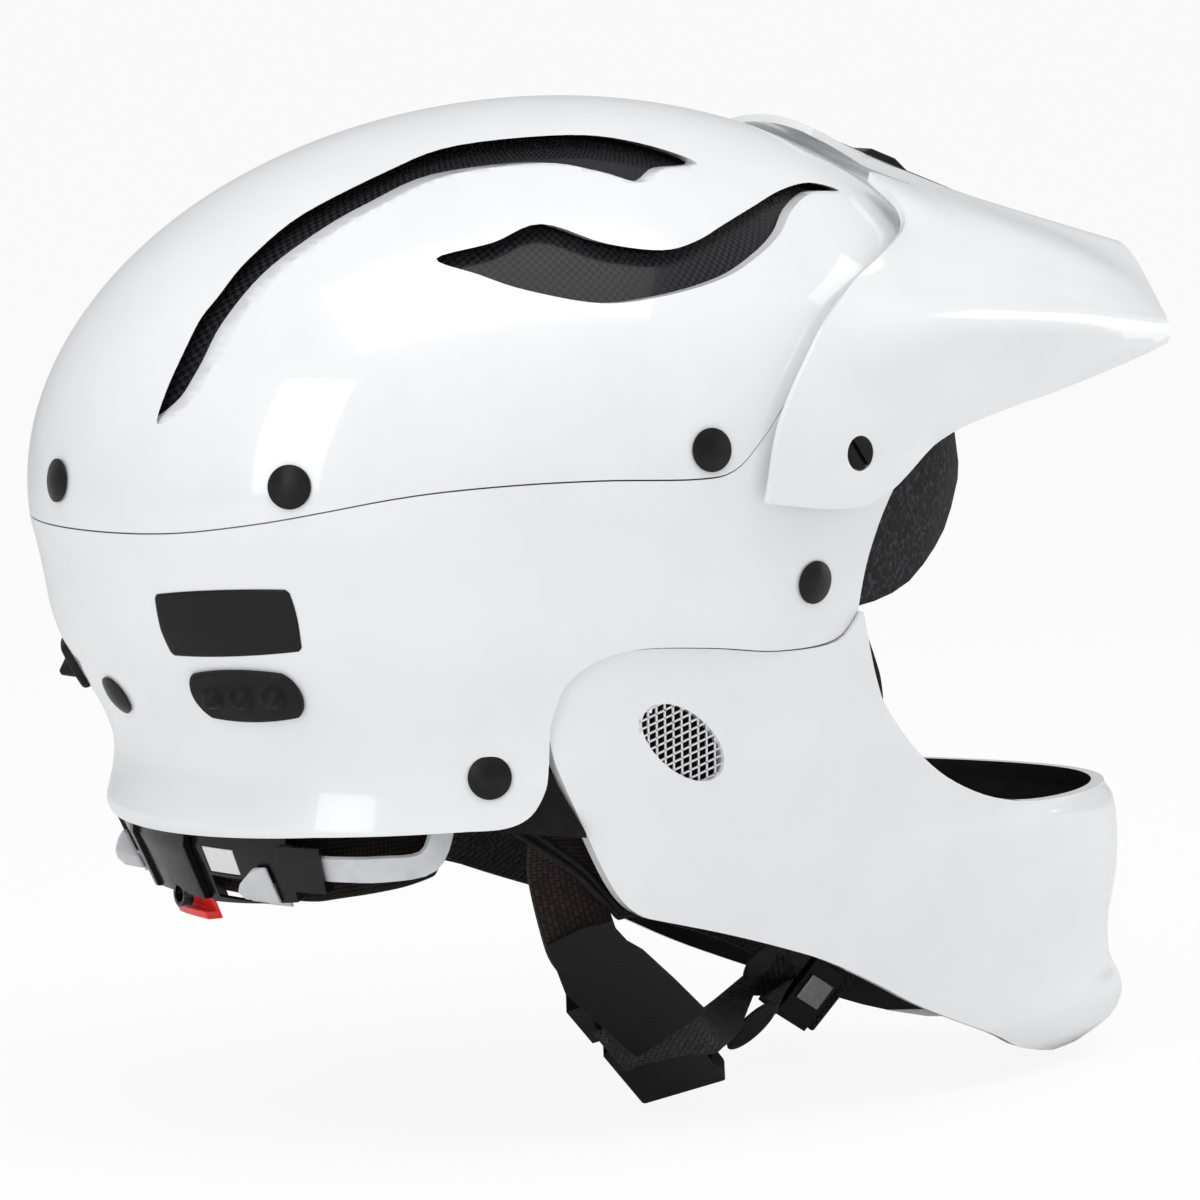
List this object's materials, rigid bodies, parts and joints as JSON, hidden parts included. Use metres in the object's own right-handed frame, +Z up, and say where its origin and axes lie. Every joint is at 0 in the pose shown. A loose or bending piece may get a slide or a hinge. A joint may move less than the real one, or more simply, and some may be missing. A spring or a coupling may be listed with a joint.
{
  "type": "full face helmet",
  "caption": "Full face helmet with a slotted two-part shell over a carbon inner shell, chin guard with mesh ports, tilting visor, padded rear cradle with slide knobs and a buckled chin strap.",
  "frame": {"origin": "centre of the wearer's head at ear-eye level, on the middle plane", "axes": "+X forward out of the eye port, +Y to the wearer's left, +Z up"},
  "size_m": [0.3393, 0.2238, 0.2765],
  "materials": {
    "shell_white": "gloss white lacquered shell",
    "carbon": "clear coated black twill weave",
    "mesh": "expanded metal mesh",
    "black_plastic": "satin black",
    "black_gloss": "semi gloss black moulding",
    "grey_plastic": "satin light grey",
    "red_plastic": "satin red",
    "plate_white": "blank white plate",
    "label_black": "blank black patch",
    "metal": "plain metal",
    "rubber": "soft black",
    "foam": "speckled charcoal bead foam",
    "padding": "black mesh covered padding with piping",
    "leather": "matte black",
    "webbing": "woven black webbing with a dark red fleck"
  },
  "bodies": {
    "shell": {"upper_shell": "shell_white", "lower_shell": "shell_white", "carbon_shell": "carbon", "chin_guard": "shell_white", "chin_mesh_right": "mesh", "chin_mesh_left": "mesh", "visor_screws": "black_plastic", "visor_inserts": "metal", "rivets_upper": "black_plastic", "rivets_lower": "black_plastic", "rivet_washers": "metal", "grip_pad_right": "rubber", "grip_pad_left": "rubber", "side_label": "label_black", "crown_liner": "foam", "brow_liner": "foam", "nape_liner": "foam", "crown_pad": "padding", "ear_pad_right": "padding", "ear_pad_left": "padding", "ear_flap_right": "leather", "ear_flap_left": "leather", "cheek_pad_right": "padding", "cheek_pad_left": "padding", "cradle_anchors": "black_plastic", "strap_anchors": "metal"},
    "visor": {"visor": "shell_white", "visor_trim": "black_plastic"},
    "cradle": {"cradle_housing": "black_gloss", "cradle_spine": "black_gloss", "cradle_bands": "grey_plastic", "cradle_pad": "padding", "size_plate": "plate_white"},
    "knob_right": {"knob_right": "grey_plastic"},
    "knob_left": {"knob_left": "grey_plastic"},
    "release_tab": {"release_tab": "red_plastic"},
    "chin_strap": {"webbing_right": "webbing", "webbing_left": "webbing", "buckle_flap": "leather", "buckle_plug": "black_gloss", "buckle_socket": "black_gloss", "strap_keeper": "rubber", "keeper_plate": "grey_plastic", "strap_ends": "webbing"},
    "prong_right": {"prong_right": "black_gloss"},
    "prong_left": {"prong_left": "black_gloss"}
  },
  "joints": [
    {"name": "visor_tilt", "type": "hinge", "parent": "shell", "child": "visor", "pos_m": [0.046, 0, 0.048], "axis": [0, -1, 0], "range_deg": [-5, 5]},
    {"name": "cradle_tilt", "type": "hinge", "parent": "shell", "child": "cradle", "pos_m": [-0.054, 0, -0.008], "axis": [0, -1, 0], "range_deg": [0, 6.5]},
    {"name": "knob_right_slide", "type": "hinge", "parent": "cradle", "child": "knob_right", "pos_m": [-0.00948, 0, -0.068], "axis": [0, 0, -1], "range_deg": [0, 5]},
    {"name": "knob_left_slide", "type": "hinge", "parent": "cradle", "child": "knob_left", "pos_m": [-0.00948, 0, -0.068], "axis": [0, 0, 1], "range_deg": [0, 5]},
    {"name": "release_press", "type": "slide", "parent": "cradle", "child": "release_tab", "axis": [1, 0, 0], "range_m": [0, 0.0015], "stiffness_N_per_m": 600},
    {"name": "chin_strap_swing", "type": "hinge", "parent": "shell", "child": "chin_strap", "pos_m": [-0.04, 0, -0.03], "axis": [0, 1, 0], "range_deg": [-3.5, 3.5]},
    {"name": "prong_right_squeeze", "type": "hinge", "parent": "chin_strap", "child": "prong_right", "pos_m": [0.01428, -0.05868, -0.10444], "axis": [0.33, 0.6272, 0.7055], "range_deg": [0, 6], "stiffness_Nm_per_rad": 0.4},
    {"name": "prong_left_squeeze", "type": "hinge", "parent": "chin_strap", "child": "prong_left", "pos_m": [0.0033, -0.04666, -0.10999], "axis": [-0.33, -0.6272, -0.7055], "range_deg": [0, 6], "stiffness_Nm_per_rad": 0.4}
  ]
}
